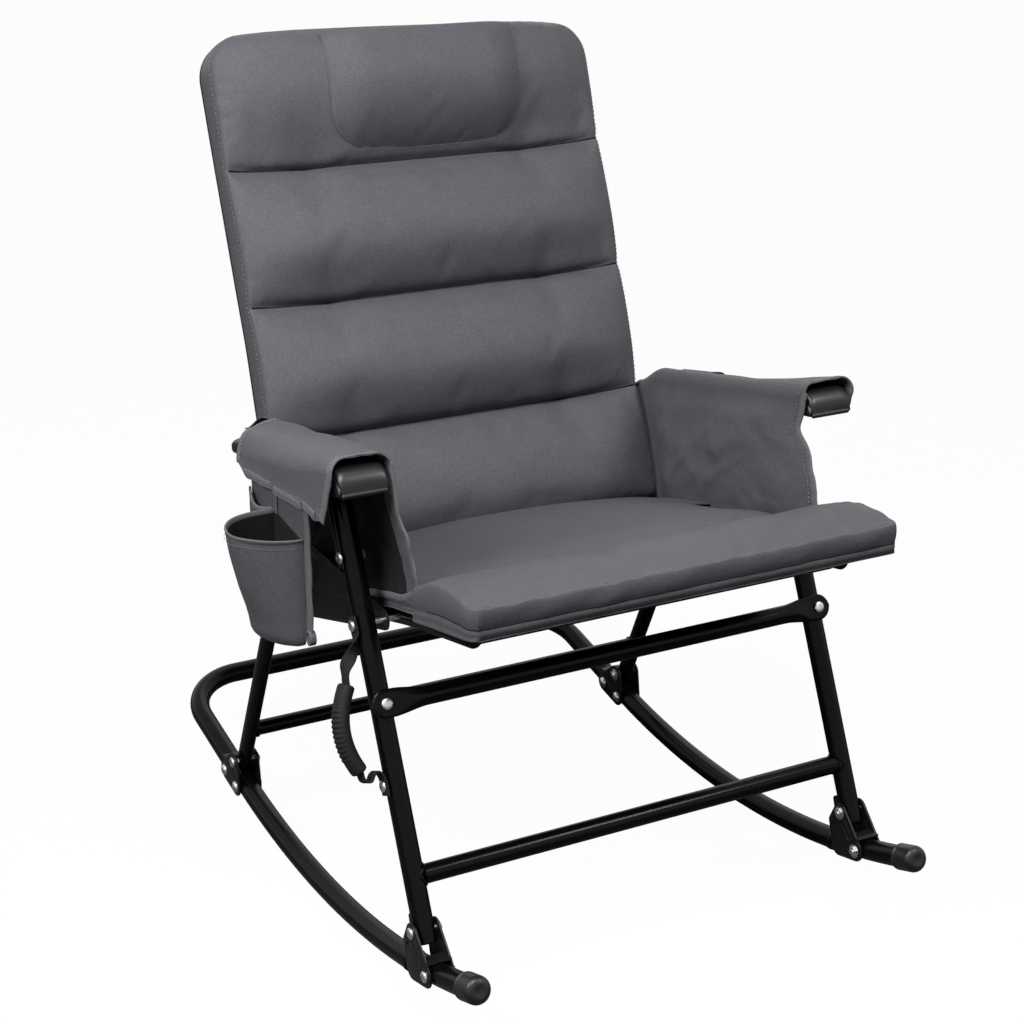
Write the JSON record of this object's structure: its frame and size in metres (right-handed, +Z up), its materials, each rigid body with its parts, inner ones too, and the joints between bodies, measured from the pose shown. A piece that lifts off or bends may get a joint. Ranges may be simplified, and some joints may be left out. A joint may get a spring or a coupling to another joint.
{
  "type": "folding rocking camping chair",
  "caption": "Folding rocking camp chair with a black tube frame on curved rails, channelled padded back, bolster seat, padded arm covers, side pocket and carry handle.",
  "frame": {"origin": "on the floor, at the bottom centre of the chair's bounding box", "axes": "+Z up, the chair faces -Y, so the sitter's right hand, with the pocket and the carry handle, is at -X"},
  "size_m": [0.7634, 0.9168, 1.0146],
  "materials": {
    "tube": "satin black powder coat with a faint grain",
    "sheet": "black coated sheet steel",
    "zinc": "bright zinc plate",
    "plastic": "moulded, satin",
    "rubber": "ribbed, matt",
    "webbing": "woven webbing",
    "fabric": "charcoal coated polyester, satin sheen"
  },
  "bodies": {
    "rocker": {"rocker_rail_right": "tube", "rocker_rail_left": "tube", "rocker_cap_right": "plastic", "rocker_cap_left": "plastic", "front_bracket_right": "sheet", "front_bracket_left": "sheet", "rear_bracket_right": "sheet", "rear_bracket_left": "sheet", "front_rail_bolt_right": "zinc", "front_rail_bolt_left": "zinc", "front_foot_bolt_right": "zinc", "front_foot_bolt_left": "zinc", "rear_foot_bolt_right": "zinc", "rear_foot_bolt_left": "zinc", "rocker_hoop": "tube"},
    "rear_legs": {"rear_leg_right": "tube", "rear_leg_left": "tube", "rear_crossbar": "tube"},
    "seat": {"seat_rail_right": "tube", "seat_rail_left": "tube", "seat_plate_right": "sheet", "seat_plate_left": "sheet", "seat_pivot_bolt_right": "zinc", "seat_pivot_bolt_left": "zinc", "rear_link_bolt_right": "zinc", "rear_link_bolt_left": "zinc", "seat_front_bar": "tube", "seat_rear_bar": "tube", "seat_pad": "fabric"},
    "front_legs": {"front_leg_right": "tube", "front_leg_left": "tube", "crossbar_bolt_right": "zinc", "crossbar_bolt_left": "zinc", "lower_crossbar": "tube", "upper_crossbar": "tube", "handle_strap_upper": "webbing", "handle_strap_lower": "webbing", "handle_grip": "rubber", "handle_lower_bolt": "zinc"},
    "back": {"back_tube_right": "tube", "back_tube_left": "tube", "back_plate_right": "sheet", "back_plate_left": "sheet", "back_top_bar": "tube", "back_pad": "fabric", "headrest": "fabric"},
    "armrests": {"armrest_right": "plastic", "armrest_left": "plastic", "arm_cover_right": "fabric", "arm_cover_left": "fabric", "arm_pivot_bolt_right": "zinc", "arm_pivot_bolt_left": "zinc", "side_panel_right": "fabric", "side_panel_left": "fabric", "pocket_panel": "fabric", "cup_pocket": "fabric"},
    "latch_right": {"front_latch_right": "sheet"},
    "latch_left": {"front_latch_left": "sheet"}
  },
  "joints": [
    {"name": "rear_leg_fold", "type": "hinge", "parent": "rocker", "child": "rear_legs", "pos_m": [0.0339, 0.21602, 0.07546], "axis": [1, 0, 0], "range_deg": [0, 60]},
    {"name": "seat_fold", "type": "hinge", "parent": "rear_legs", "child": "seat", "pos_m": [0.0339, 0.04534, 0.43169], "axis": [1, 0, 0], "range_deg": [-196, 0]},
    {"name": "front_leg_fold", "type": "hinge", "parent": "seat", "child": "front_legs", "pos_m": [0.0339, -0.18175, 0.41676], "axis": [1, 0, 0], "range_deg": [0, 84]},
    {"name": "back_fold", "type": "hinge", "parent": "seat", "child": "back", "pos_m": [0.0339, 0.10025, 0.37676], "axis": [1, 0, 0], "range_deg": [0, 84]},
    {"name": "armrest_fold", "type": "hinge", "parent": "front_legs", "child": "armrests", "pos_m": [0.0339, -0.1153, 0.57106], "axis": [1, 0, 0], "range_deg": [-84, 0], "deforming": ["side_panel_right", "side_panel_left"]},
    {"name": "latch_right_swing", "type": "hinge", "parent": "rocker", "child": "latch_right", "pos_m": [-0.2661, -0.30703, 0.07657], "axis": [1, 0, 0], "range_deg": [-35, 0]},
    {"name": "latch_left_swing", "type": "hinge", "parent": "rocker", "child": "latch_left", "pos_m": [0.3339, -0.30703, 0.07657], "axis": [1, 0, 0], "range_deg": [-35, 0]}
  ],
  "couplings": [
    {"joint": "seat_fold", "follows": "rear_leg_fold", "ratio": -3.2667},
    {"joint": "front_leg_fold", "follows": "rear_leg_fold", "ratio": 1.4},
    {"joint": "back_fold", "follows": "rear_leg_fold", "ratio": 1.4},
    {"joint": "armrest_fold", "follows": "rear_leg_fold", "ratio": -1.4}
  ]
}
